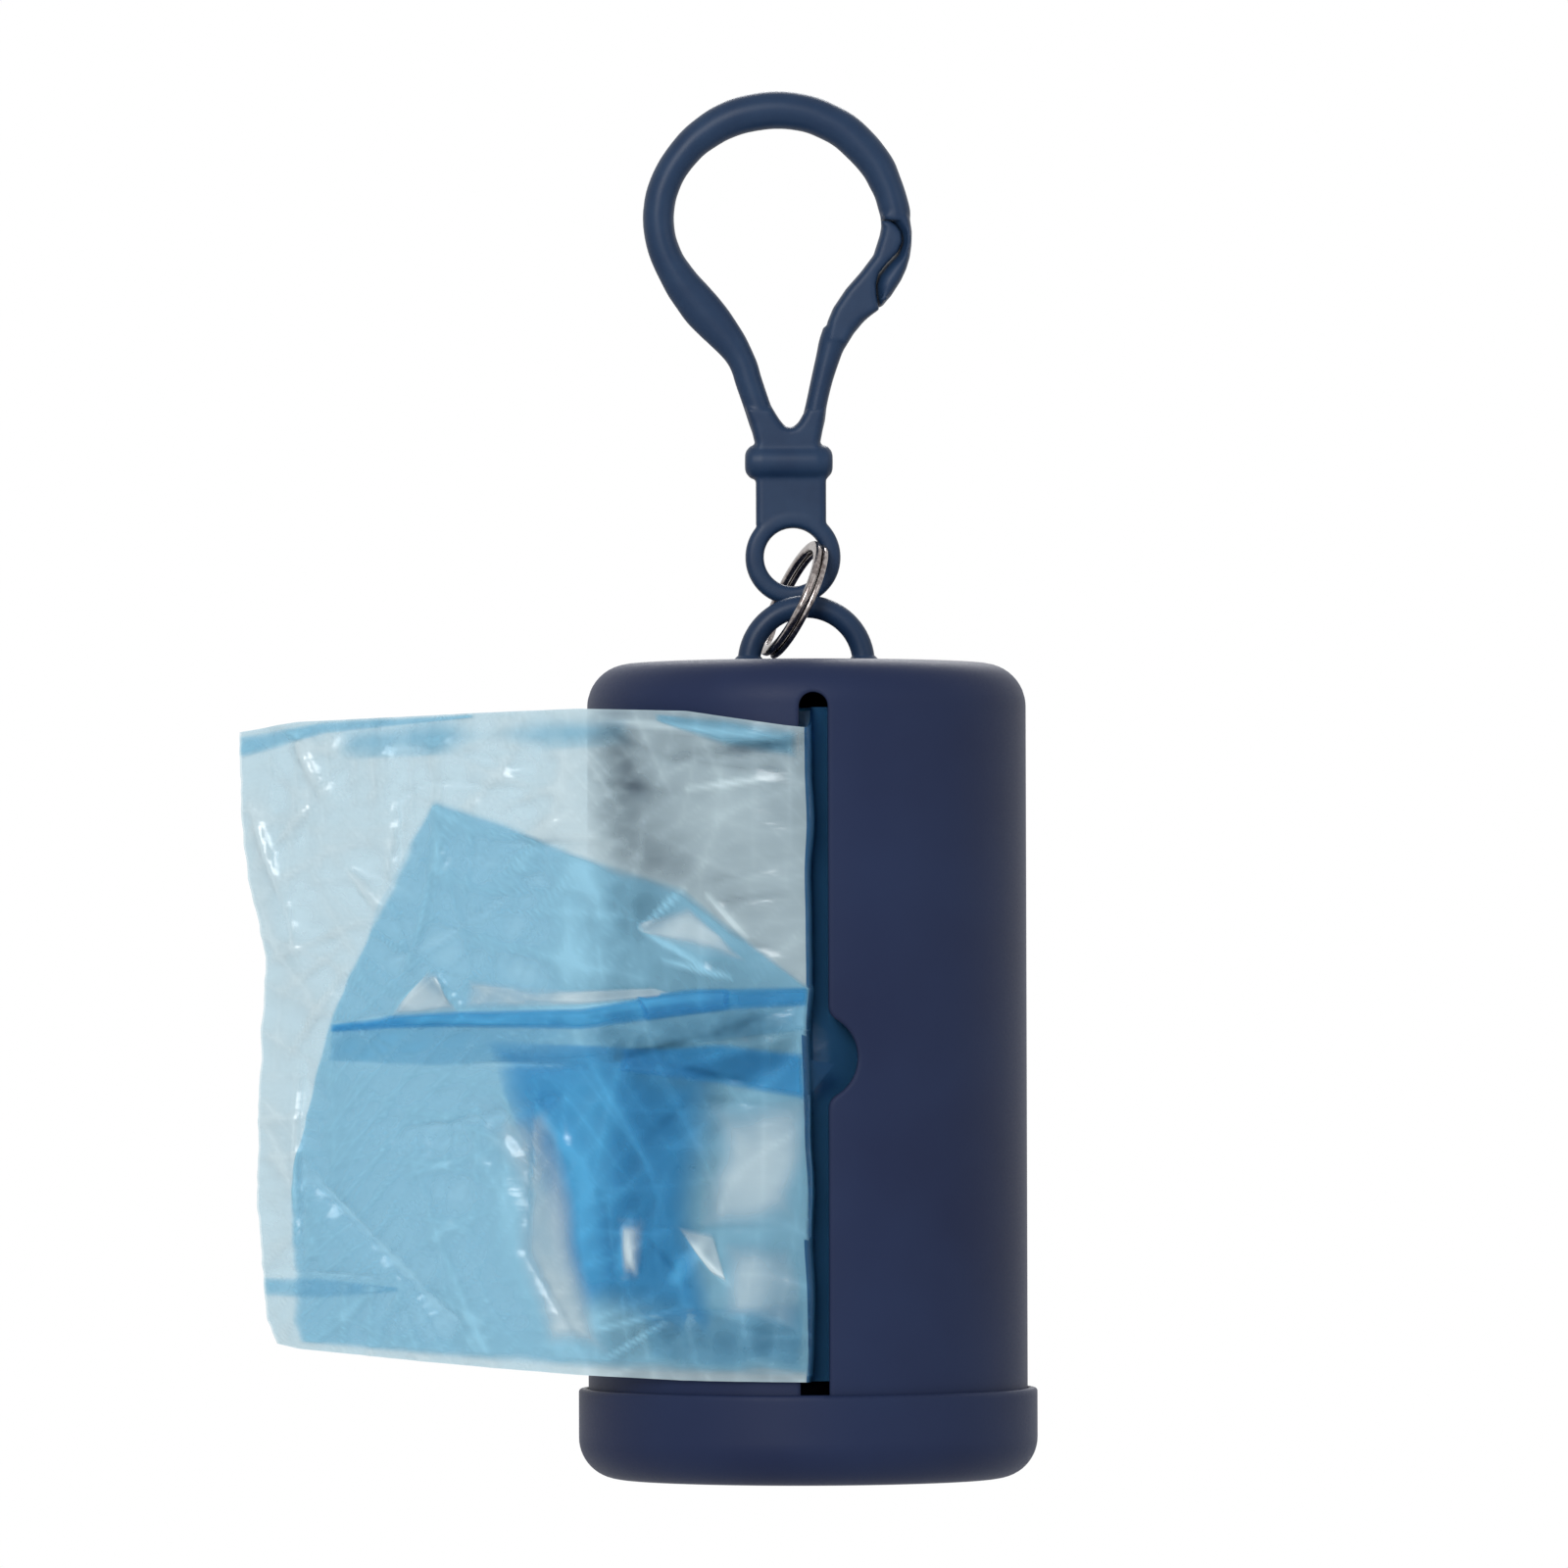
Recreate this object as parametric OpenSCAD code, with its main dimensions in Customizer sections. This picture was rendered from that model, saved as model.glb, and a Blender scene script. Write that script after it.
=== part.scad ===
// Dog waste bag dispenser: a slotted tube with a press-on end cap and a moulded loop on top,
// a roll of film bags with the first bag led out through the slot, and a snap clip on a split ring.
// Millimetres. Z = 0 is the flat underside of the end cap, the tube's axis is X = Y = 0,
// the slot faces -Y and the first bag leads off towards -X.

/* [Case] */
// Outer diameter of the tube
case_d = 42.7; // [36:0.1:60]
// Wall of the tube
case_wall = 1.6; // [1:0.1:2.2]
// Thickness of the tube's closed top
top_wall = 1.8; // [1.2:0.1:2.6]
// Radius of the rounded edge at the top of the tube
top_round = 4.2; // [2.5:0.1:6]

/* [Slot] */
// Width of the slot that the bags pull out through
slot_w = 2.8; // [2.4:0.1:4]
// Distance from the top of the tube to the slot's round upper end
slot_from_top = 3.3; // [3:0.1:8]
// Diameter of the thumb hole in the slot
thumb_d = 8.4; // [6:0.1:14]
// Height of the thumb hole's centre above the underside of the cap
thumb_z = 40.95; // [30:0.05:60]
// Radius that blends the thumb hole into the slot
thumb_fillet = 1.5; // [0.8:0.1:2.5]

/* [End cap] */
// Wall of the cap outside the tube
cap_wall = 0.85; // [0.7:0.05:1.6]
// Height of the cap
cap_h = 8.75; // [8:0.05:12]
// Thickness of the cap's floor
cap_floor = 1.8; // [1.2:0.1:2.4]
// Radius of the rounded edge at the bottom of the cap
cap_round = 4; // [2.5:0.1:5]
// Radius of the soft edge at the cap's rim
cap_rim_round = 0.35; // [0.2:0.05:0.4]
// Gap all round between the tube and the cap
cap_fit = 0.1; // [0.05:0.01:0.2]
// Height of the shoulder that the tube's lower edge stands on
cap_shoulder = 3.1; // [2.8:0.1:4.5]
// Space between the roll's core and the raised ring that carries the roll
seat_gap = 0.9; // [0.5:0.1:3]
// Wall of the raised ring
seat_wall = 1.6; // [1.2:0.1:2.5]

/* [Bag roll] */
// Space all round between the wound bags and the tube's wall
roll_gap = 3.25; // [2:0.05:5]
// Width of the film, which is the length of the roll
film_w = 64.7; // [50:0.1:110]
// Space between the roll's upper end and what lies above it
roll_end_gap = 1.8; // [1:0.1:4]
// Height of the roll's lower end above the underside of the cap
roll_z = 9.85; // [9:0.05:12]
// Outer diameter of the core
core_d = 15; // [12:0.5:16]
// Wall of the core
core_wall = 0.9; // [0.6:0.1:1.5]

/* [Leading bag] */
// Thickness of the folded bag
film_t = 0.6; // [0.3:0.05:0.8]
// How far the bag reaches to the left of the tube's axis
bag_reach = 55.6; // [40:0.1:90]
// Angle round the tube over which the bag lies against it
bag_wrap = 30; // [15:1:45]
// How much shorter the bag's free edge is than the film is wide
bag_taper = 4.9; // [0:0.1:12]

/* [Top loop] */
// Diameter of the round bar of the loop
loop_bar_d = 2.2; // [1.8:0.1:2.6]
// Width of the opening in the loop
loop_open_w = 9; // [8.8:0.1:12]
// Diameter of the flared foot of each leg
loop_foot_d = 3.8; // [3:0.1:5]
// Height of the flare
loop_flare_h = 0.8; // [0.4:0.1:1.2]
// Thickness of the anchor plate under the tube's top
anchor_t = 1; // [0.8:0.1:1.6]
// Depth of the anchor plate, front to back
anchor_w = 4.4; // [3.5:0.1:8]

/* [Split ring] */
// Diameter to the middle of the wire
ring_mid_d = 11.2; // [11:0.1:11.6]
// Radial thickness of the wire
ring_wire_t = 1.1; // [0.9:0.05:1.2]
// Thickness of the two turns together
ring_wire_w = 1.4; // [1.1:0.05:1.5]
// Depth of the groove between the turns
ring_groove = 0.25; // [0.1:0.05:0.35]
// Lean of the ring to the side
ring_lean = 22; // [20:1:23]
// Turn of the ring about its own upright
ring_yaw = 8; // [4:1:10]

/* [Clip] */
// Diameter of the bar that makes the clip's loop
bar_d = 3.3; // [2.8:0.1:3.6]
// Radius of the loop to the middle of the bar
loop_r = 11.35; // [10:0.05:16]
// Radius of the bends where the loop turns into the legs
bend_r = 6; // [5:0.1:8]
// Diameter of each leg where it meets the base
leg_d = 2.5; // [2.2:0.1:3]
// Lean of the long arm's leg from upright
long_leg_lean = 19.2; // [16:0.1:22]
// Lean of the gate's leg from upright
gate_leg_lean = 13.5; // [11:0.1:16]
// Height of the middle of the loop above the base block
loop_rise = 19.3; // [19:0.1:26]
// Width of the base block that joins the legs
base_w = 6.5; // [6:0.1:8]
// Height of the base block
base_h = 2.2; // [2:0.1:4]
// Length of the rounded collar
collar_len = 8.4; // [7:0.1:11]
// Diameter of the rounded collar
collar_d = 3.5; // [3:0.1:4.5]
// Width of the flat strap between collar and eye
strap_w = 6.9; // [6:0.1:8]
// Thickness of the strap and the eye
strap_t = 2; // [1.6:0.1:2.4]
// Length from the eye's centre to the underside of the collar
strap_len = 7.6; // [6.5:0.1:12]
// Outer diameter of the eye
eye_d = 9.4; // [9.2:0.1:11]
// Diameter of the hole in the eye
eye_hole_d = 6; // [5.9:0.1:6.4]
// Height of the eye's centre above the top of the tube
eye_rise = 10.5; // [10.4:0.1:11]

/* [Gate] */
// Gap along the parting line between the gate and the long arm
gate_gap = 0.16; // [0.1:0.02:0.3]
// Radius of the gate's root, about which it flexes
root_r = 1.3; // [1.25:0.05:1.6]
// Depth of the gate's root, front to back
root_w = 3; // [2.5:0.1:3.4]
// Angle below the loop's middle where the long arm's nose ends
nose_low = 38; // [34:1:40]

/* [Hidden] */
$fn = 96;

// clearance between soft or loose pieces, and the small overlap that a cut runs past a face by
loose = 0.3;
past = 1;

// the tube is as long as the roll needs, with the cap below it and the loop's anchor plate above it
case_h = roll_z + film_w + roll_end_gap + anchor_t + top_wall;
case_r = case_d / 2;
case_in_r = case_r - case_wall;
cap_in_r = case_r + cap_fit;
cap_r = cap_in_r + cap_wall;
slot_top_z = case_h - slot_from_top;
// flats in the blend at each corner of the thumb hole, and where it starts inside the slot
blend_steps = 8;
blend_in = 0.05;
roll_r = case_in_r - roll_gap;
core_r = core_d / 2;
seat_top_z = roll_z - loose;
seat_d = core_d + 2 * (seat_gap + seat_wall);

// the film: it leaves the roll on the right, passes the slot and turns left over the tube
film_r = case_r + loose + film_t / 2;
web_r = roll_r + loose + film_t / 2;
slot_in = [0, -(case_in_r - film_t)];
slot_out = [0, -film_r];
web_angle = -90 + acos(web_r / norm(slot_in));
web_start = [web_r * cos(web_angle), web_r * sin(web_angle)];
// the turned-over end of the web stops short of the bag's own end
web_turn = 0.4;
bag_start_angle = -90 - asin((web_turn + film_t / 2 + loose) / film_r);
bag_leave_angle = -90 - bag_wrap;
bag_leave = [film_r * cos(bag_leave_angle), film_r * sin(bag_leave_angle)];
bag_mid_z = roll_z + film_w / 2;
bag_end_w = film_w - bag_taper;

// the top loop is a half ring of round bar that stands on the tube's top
loop_mid_r = loop_open_w / 2 + loop_bar_d / 2;
loop_hole_d = loop_bar_d + 2 * cap_fit;
anchor_len = 2 * loop_mid_r + loop_bar_d + 3;

// the clip lies behind the loop's bar, so that the two cross without touching
clip_y = loop_bar_d / 2 + loose + strap_t / 2;
// the clip's middle line stands a little to the left of the tube's axis
eye_x = -1.2;
eye_z = case_h + eye_rise;
strap_x = -1.55;
collar_x = -1.65;
collar_z = eye_z + strap_len + collar_d / 2;
base_x = -1.75;
base_z = collar_z + collar_d / 2 - 0.4;
base_top = base_z + base_h;
loop_x = -2.65;
loop_z = base_top + loop_rise;
leg_gap = 4.7;
leg_sink = 0.6;
long_root = [base_x - leg_gap / 2 + leg_sink / 3, base_top - leg_sink];
gate_root = [base_x + leg_gap / 2, base_top - 0.1];

// a bend that touches a leg, which leans by lean to side, and the loop: its centre, and the leg's length
function leg_dir(lean, side) = [side * sin(lean), cos(lean)];
function leg_out(lean, side) = [side * cos(lean), -sin(lean)];
function leg_len(root, lean, side) =
    let (w = root + bend_r * leg_out(lean, side) - [loop_x, loop_z],
         along = w * leg_dir(lean, side))
    -along - sqrt(along * along - (w * w - pow(loop_r + bend_r, 2)));
function bend_at(root, lean, side) =
    root + bend_r * leg_out(lean, side) + leg_len(root, lean, side) * leg_dir(lean, side);
function loop_angle(at) = atan2(at[1] - loop_z, at[0] - loop_x);

long_bend = bend_at(long_root, long_leg_lean, -1);
gate_bend = bend_at(gate_root, gate_leg_lean, 1);
long_angle = loop_angle(long_bend);
gate_angle = loop_angle(gate_bend);
// the gate's nose ends on a circle about its root, so that it swings in clear of the long arm
nose_top = [loop_x + loop_r * cos(0), loop_z];
nose_r = norm(nose_top - gate_root);
// how far above the loop's middle the gate's bar is drawn before it is cut to length
nose_spare = 8;
nose_gap_angle = atan(gate_gap / loop_r);
// neighbouring stretches of the bar stop this angle short of each other, inside a knuckle
part_angle = 0.4;
knuckle_proud = 0.02;

// the split ring threads the eye and the loop
ring_x = -1.5;
ring_y = clip_y / 2;
ring_z = case_h + 6.3;

// Half outline of a round solid from z0 to z1, its lower and upper corners rounded by low and high
module half_outline(r, z0, z1, low, high) {
    translate([0, z0 + low]) square([r, z1 - z0 - low - high]);
    translate([0, z0]) square([r - low, z1 - z0 - high]);
    translate([0, z0 + low]) square([r - high, z1 - z0 - low]);
    if (low > 0) translate([r - low, z0 + low]) circle(low);
    if (high > 0) translate([r - high, z1 - high]) circle(high);
}

// Rod along Z from 0 to len with rounded rims
module soft_rod(r, len, round) {
    rotate_extrude() intersection() {
        half_outline(r, 0, len, round, round);
        square([r, len]);
    }
}

// Cuts a front view shape right through the tube's front wall
module front_cut() {
    translate([0, -(case_in_r - 2 * past), 0]) rotate([90, 0, 0])
        linear_extrude(case_wall + 4 * past) children();
}

// Blend between thumb hole and slot, on one side and above or below the hole's centre
module thumb_blend(side, up) {
    bx = slot_w / 2 + thumb_fillet;
    bz = sqrt(pow(thumb_d / 2 + thumb_fillet, 2) - bx * bx);
    arc = [for (i = [1 : blend_steps - 1])
           let (a = 180 + atan2(bz, bx) * i / blend_steps)
           [bx + thumb_fillet * cos(a), bz + thumb_fillet * sin(a)]];
    outline = concat([[0, bz], [slot_w / 2 - blend_in, bz]], arc, [[0, thumb_d / 4]]);
    translate([0, thumb_z]) polygon([for (p = outline) [side * p[0], up * p[1]]]);
}

module case_body() {
    color("#2b3558") difference() {
        rotate_extrude() difference() {
            intersection() {
                half_outline(case_r, cap_shoulder, case_h, 0, top_round);
                square([case_r, case_h]);
            }
            intersection() {
                half_outline(case_in_r, 0, case_h - top_wall, 0, max(top_round - case_wall, 0.2));
                square([case_r, case_h]);
            }
        }
        front_cut() translate([-slot_w / 2, 0]) square([slot_w, slot_top_z - slot_w / 2]);
        front_cut() translate([0, slot_top_z - slot_w / 2]) circle(slot_w / 2);
        front_cut() translate([0, thumb_z]) circle(thumb_d / 2);
        for (side = [-1, 1], up = [-1, 1])
            front_cut() thumb_blend(side, up);
        for (side = [-1, 1])
            translate([side * loop_mid_r, 0, case_h - top_wall - past])
                cylinder(d = loop_hole_d, h = top_wall + 2 * past);
    }
}

module top_loop() {
    color("#2c4063") union() {
        translate([0, 0, case_h]) rotate([90, 0, 0])
            rotate_extrude(angle = 180) translate([loop_mid_r, 0]) circle(d = loop_bar_d);
        for (side = [-1, 1]) translate([side * loop_mid_r, 0, 0]) {
            translate([0, 0, case_h])
                cylinder(d1 = loop_foot_d, d2 = loop_bar_d, h = loop_flare_h);
            translate([0, 0, case_h - top_wall - anchor_t / 2])
                cylinder(d = loop_bar_d, h = top_wall + anchor_t / 2 + loop_flare_h / 2);
        }
        translate([-anchor_len / 2, -anchor_w / 2, case_h - top_wall - anchor_t])
            cube([anchor_len, anchor_w, anchor_t]);
    }
}

module end_cap() {
    color("#2f3a5e") union() {
        rotate_extrude() difference() {
            intersection() {
                half_outline(cap_r, 0, cap_h, cap_round, cap_rim_round);
                square([cap_r, cap_h]);
            }
            translate([0, cap_shoulder]) square([cap_in_r, cap_h]);
            translate([0, cap_floor]) square([case_in_r - past, cap_h]);
        }
        translate([0, 0, cap_floor / 2]) difference() {
            cylinder(d = seat_d, h = seat_top_z - cap_floor / 2);
            translate([0, 0, -past]) cylinder(d = seat_d - 2 * seat_wall, h = seat_top_z + 2 * past);
        }
    }
}

module roll_core() {
    color("#c9bfa8") translate([0, 0, roll_z]) difference() {
        cylinder(r = core_r, h = film_w);
        translate([0, 0, -past]) cylinder(r = core_r - core_wall, h = film_w + 2 * past);
    }
}

module bag_roll() {
    color("#3f8fc0") translate([0, 0, roll_z]) difference() {
        cylinder(r = roll_r, h = film_w);
        translate([0, 0, -past]) cylinder(r = core_r, h = film_w + 2 * past);
    }
}

// Plan view of film of thickness film_t along straight stretches from point to point
module film_plan(points) {
    for (i = [0 : len(points) - 2]) {
        step = points[i + 1] - points[i];
        translate(points[i]) rotate(atan2(step[1], step[0]))
            translate([0, -film_t / 2]) square([norm(step), film_t]);
        if (i > 0) translate(points[i]) circle(d = film_t, $fn = 32);
    }
}

module bag_web() {
    color("#1f6ea8") translate([0, 0, roll_z]) linear_extrude(film_w)
        film_plan([web_start, slot_in, slot_out, slot_out - [web_turn, 0]]);
}

// Front view of the leading bag, narrower towards its free edge
module bag_outline() {
    polygon([[0, bag_mid_z - film_w / 2], [0, bag_mid_z + film_w / 2],
             [-bag_reach, bag_mid_z + bag_end_w / 2], [-bag_reach, bag_mid_z - bag_end_w / 2]]);
}

module lead_bag() {
    straight = (bag_reach + 2 * past) / cos(bag_wrap);
    color("#7fb9d6") intersection() {
        linear_extrude(case_h) union() {
            rotate(bag_leave_angle)
                wedge_ring(film_r - film_t / 2, film_r + film_t / 2, bag_start_angle - bag_leave_angle);
            translate(bag_leave) rotate(180 - bag_wrap)
                translate([0, -film_t / 2]) square([straight, film_t]);
        }
        translate([0, case_d, 0]) rotate([90, 0, 0]) linear_extrude(2 * case_d) bag_outline();
    }
}

// Flat ring from inner to outer radius over the first sweep degrees, sweep being under 90
module wedge_ring(inner, outer, sweep) {
    intersection() {
        difference() {
            circle(outer);
            circle(inner);
        }
        polygon([[0, 0], [2 * outer, 0], [2 * outer * cos(sweep), 2 * outer * sin(sweep)]]);
    }
}

module split_ring() {
    half_t = ring_wire_t / 2;
    half_w = ring_wire_w / 2;
    color("#b9bcc2") translate([ring_x, ring_y, ring_z]) rotate([0, ring_lean, 0])
        rotate([0, 0, ring_yaw]) rotate([0, 90, 0])
        rotate_extrude() translate([ring_mid_d / 2, 0])
            polygon([[-half_t, -half_w], [half_t, -half_w], [half_t, -ring_groove / 2],
                     [half_t - ring_groove, 0], [half_t, ring_groove / 2], [half_t, half_w],
                     [-half_t, half_w], [-half_t, ring_groove / 2],
                     [-half_t + ring_groove, 0], [-half_t, -ring_groove / 2]]);
}

// Stretch of the clip's loop from angle a0 to a1, seen from the front
module loop_bar(a0, a1) {
    translate([loop_x, clip_y, loop_z]) rotate([90, 0, 0]) rotate([0, 0, a0])
        rotate_extrude(angle = a1 - a0) translate([loop_r, 0]) circle(d = bar_d);
}

// Knuckle that joins two stretches of the bar
module bar_knuckle(at) {
    translate([at[0], clip_y, at[1]]) sphere(d = bar_d + 2 * knuckle_proud);
}

// Leg from its root to the loop: a tapered straight and the bend that runs into the loop
module leg(root, lean, side) {
    bend = bend_at(root, lean, side);
    rise = leg_len(root, lean, side);
    to_loop = atan2(loop_z - bend[1], loop_x - bend[0]);
    to_leg = atan2(sin(lean), -side * cos(lean));
    turn = abs(to_leg - to_loop);
    translate([root[0], clip_y, root[1]]) rotate([0, side * lean, 0])
        cylinder(d1 = leg_d, d2 = bar_d, h = rise);
    bar_knuckle(root + rise * leg_dir(lean, side));
    translate([bend[0], clip_y, bend[1]]) rotate([90, 0, 0])
        rotate([0, 0, min(to_leg, to_loop) + part_angle])
            rotate_extrude(angle = turn - 2 * part_angle)
                translate([bend_r, 0]) circle(d = bar_d);
    bar_knuckle(bend + bend_r * [cos(to_loop), sin(to_loop)]);
}

// Sector of the loop, from angle a0 to a1, that holds the whole bar
module loop_sector(a0, a1) {
    translate([loop_x, clip_y, loop_z]) rotate([90, 0, 0]) rotate([0, 0, a0])
        rotate_extrude(angle = a1 - a0) translate([loop_r - bar_d, -bar_d]) square(2 * bar_d);
}

// The space the gate's nose keeps to, grown by grow: inside the loop's middle line and its own swing
module nose_space(grow) {
    intersection() {
        translate([loop_x, clip_y, loop_z]) rotate([90, 0, 0])
            cylinder(r = loop_r + grow, h = 2 * bar_d, center = true);
        translate([gate_root[0], clip_y, gate_root[1]]) rotate([90, 0, 0])
            cylinder(r = nose_r + grow, h = 2 * bar_d, center = true);
    }
}

module clip_hook() {
    color("#2c4063") union() {
        // long arm: leg, loop over the top, and the nose outside the gate's nose
        leg(long_root, long_leg_lean, -1);
        difference() {
            loop_bar(-nose_low, 360 + long_angle - part_angle);
            intersection() {
                loop_sector(-nose_low - nose_spare, nose_spare);
                nose_space(gate_gap / 2);
            }
        }
        // base block, with a hollow for the gate's root
        difference() {
            translate([base_x - base_w / 2, clip_y - root_w / 2, base_z])
                cube([base_w, root_w, base_h]);
            translate([gate_root[0], clip_y, gate_root[1]]) rotate([90, 0, 0])
                cylinder(r = root_r + cap_fit, h = 2 * root_w, center = true);
        }
        // collar
        translate([collar_x - collar_len / 2, clip_y, collar_z]) rotate([0, 90, 0])
            soft_rod(collar_d / 2, collar_len, 0.7);
        // strap and eye
        difference() {
            union() {
                translate([strap_x - strap_w / 2, clip_y - strap_t / 2, eye_z])
                    cube([strap_w, strap_t, collar_z - eye_z]);
                translate([eye_x, clip_y, eye_z]) rotate([90, 0, 0])
                    cylinder(d = eye_d, h = strap_t, center = true);
            }
            translate([eye_x, clip_y, eye_z]) rotate([90, 0, 0])
                cylinder(d = eye_hole_d, h = 2 * strap_t, center = true);
        }
    }
}

module clip_gate() {
    color("#2c4063") union() {
        translate([gate_root[0], clip_y, gate_root[1]]) rotate([90, 0, 0])
            cylinder(r = root_r, h = root_w, center = true);
        leg(gate_root, gate_leg_lean, 1);
        difference() {
            loop_bar(gate_angle + part_angle, nose_spare);
            difference() {
                loop_sector(-nose_low - nose_gap_angle, 2 * nose_spare);
                nose_space(-gate_gap / 2);
            }
        }
    }
}

case_body();
top_loop();
end_cap();
roll_core();
bag_roll();
bag_web();
lead_bag();
split_ring();
clip_hook();
clip_gate();
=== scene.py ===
import bpy, bmesh, math
import numpy as np
from mathutils import Matrix, Vector


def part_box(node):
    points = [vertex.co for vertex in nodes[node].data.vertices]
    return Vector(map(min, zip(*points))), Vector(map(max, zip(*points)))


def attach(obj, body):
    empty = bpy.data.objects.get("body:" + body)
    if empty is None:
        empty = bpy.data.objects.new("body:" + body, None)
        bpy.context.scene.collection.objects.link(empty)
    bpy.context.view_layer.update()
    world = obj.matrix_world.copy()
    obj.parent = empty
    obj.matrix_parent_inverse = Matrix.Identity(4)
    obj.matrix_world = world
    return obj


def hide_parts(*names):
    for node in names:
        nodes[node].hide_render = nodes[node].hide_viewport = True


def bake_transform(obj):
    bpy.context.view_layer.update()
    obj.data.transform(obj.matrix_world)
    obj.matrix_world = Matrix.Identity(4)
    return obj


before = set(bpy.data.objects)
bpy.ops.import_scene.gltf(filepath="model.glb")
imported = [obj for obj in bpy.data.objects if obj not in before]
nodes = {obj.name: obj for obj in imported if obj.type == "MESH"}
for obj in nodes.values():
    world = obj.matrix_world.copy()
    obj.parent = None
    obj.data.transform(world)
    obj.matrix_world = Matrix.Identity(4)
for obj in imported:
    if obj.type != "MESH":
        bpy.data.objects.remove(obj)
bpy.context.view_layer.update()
mm = 0.001

# ---------------------------------------------------------------------------------------------
# The case: one tube moulded in polypropylene with a closed top, a slot down its front and a
# thumb hole in the slot. The mould is spark-eroded, so the skin is matt with a very fine grain.


def linear(code):
    """An sRGB hex value such as #1a2b3c as linear RGBA."""
    parts = [int(code[i : i + 2], 16) / 255 for i in (1, 3, 5)]
    return [p / 12.92 if p <= 0.04045 else ((p + 0.055) / 1.055) ** 2.4 for p in parts] + [1.0]


def add(tree, kind, inputs=(), **settings):
    """One more node of that kind. inputs pairs a socket's name or number with a value, or with
    the socket that feeds it."""
    made = tree.nodes.new(kind)
    for name, value in settings.items():
        setattr(made, name, value)
    for name, value in dict(inputs).items():
        if isinstance(value, bpy.types.NodeSocket):
            tree.links.new(value, made.inputs[name])
        else:
            made.inputs[name].default_value = value
    return made


def new_material(name):
    """An empty node material, its tree, its output and the place on the object, in metres."""
    material = bpy.data.materials.new(name)
    material.use_nodes = True
    tree = material.node_tree
    tree.nodes.clear()
    output = add(tree, "ShaderNodeOutputMaterial")
    place = add(tree, "ShaderNodeTexCoord").outputs["Object"]
    return material, tree, output, place


def ramp(tree, feed, low, high, start=0.0, end=1.0):
    """The colour that runs from low to high while feed runs from start to end."""
    made = add(tree, "ShaderNodeValToRGB", {"Fac": feed})
    for stop, where, colour in zip(made.color_ramp.elements, (start, end), (low, high)):
        stop.position, stop.color = where, colour
    return made.outputs["Color"]


def dress(piece, material):
    """Gives the piece this one material."""
    piece.data.materials.clear()
    piece.data.materials.append(material)


# Polypropylene from a spark-eroded mould: a dry, even, deep navy whose highlights are wide and
# soft, with a grain of 0.25 mm that only shows close up and faint cloudiness from the flow.
matt_navy, tree, output, place = new_material("moulded_polypropylene_spark_eroded_navy")
grain = add(tree, "ShaderNodeTexNoise", {"Vector": place, "Scale": 1 / (0.25 * mm), "Detail": 2.0})
cloud = add(tree, "ShaderNodeTexNoise", {"Vector": place, "Scale": 1 / (18 * mm), "Detail": 3.0})
tone = ramp(tree, cloud.outputs["Fac"], linear("#18223f"), linear("#1c2846"), 0.35, 0.68)
gloss = add(tree, "ShaderNodeMapRange",
            {"Value": grain.outputs["Fac"], "To Min": 0.44, "To Max": 0.58})
soft_edge = add(tree, "ShaderNodeBevel", {"Radius": 0.7 * mm}, samples=6)
skin = add(tree, "ShaderNodeBump", {"Height": grain.outputs["Fac"], "Strength": 0.25,
                                    "Distance": 0.02 * mm, "Normal": soft_edge.outputs[0]})
plastic = add(tree, "ShaderNodeBsdfPrincipled",
              {"Base Color": tone, "Roughness": gloss.outputs["Result"],
               "IOR": 1.49, "Specular IOR Level": 0.16, "Normal": skin.outputs["Normal"]})
tree.links.new(plastic.outputs[0], output.inputs["Surface"])
dress(nodes["case_body"], matt_navy)

# ---------------------------------------------------------------------------------------------
# The end cap: a shallow cup pushed over the tube's lower end, moulded from the same
# polypropylene. It is held by its fit alone and pulls off downwards.
dress(nodes["end_cap"], matt_navy)

# ---------------------------------------------------------------------------------------------
# The loop on top: a half ring of round bar with flared feet, moulded in acetal like the clip
# and pushed through two holes in the tube's top.

# Acetal from a polished mould: a slate blue with a satin skin, tighter highlights than the
# case, and faint flow marks 3 mm apart.
satin_blue, tree, output, place = new_material("moulded_acetal_satin_slate_blue")
flow = add(tree, "ShaderNodeTexNoise", {"Vector": place, "Scale": 1 / (3 * mm), "Detail": 4.0})
fine = add(tree, "ShaderNodeTexNoise", {"Vector": place, "Scale": 1 / (0.3 * mm), "Detail": 2.0})
tone = ramp(tree, flow.outputs["Fac"], linear("#192d48"), linear("#1f344f"), 0.3, 0.7)
gloss = add(tree, "ShaderNodeMapRange",
            {"Value": flow.outputs["Fac"], "To Min": 0.34, "To Max": 0.46})
soft_edge = add(tree, "ShaderNodeBevel", {"Radius": 0.3 * mm}, samples=4)
skin = add(tree, "ShaderNodeBump", {"Height": fine.outputs["Fac"], "Strength": 0.2,
                                    "Distance": 0.02 * mm, "Normal": soft_edge.outputs[0]})
acetal = add(tree, "ShaderNodeBsdfPrincipled",
             {"Base Color": tone, "Roughness": gloss.outputs["Result"],
              "IOR": 1.48, "Specular IOR Level": 0.2, "Normal": skin.outputs["Normal"]})
tree.links.new(acetal.outputs[0], output.inputs["Surface"])
dress(nodes["top_loop"], satin_blue)

# ---------------------------------------------------------------------------------------------
# The roll's core: a small tube wound from strips of grey kraft board, on which the bags are
# rolled. It turns on the raised ring inside the cap.

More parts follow.
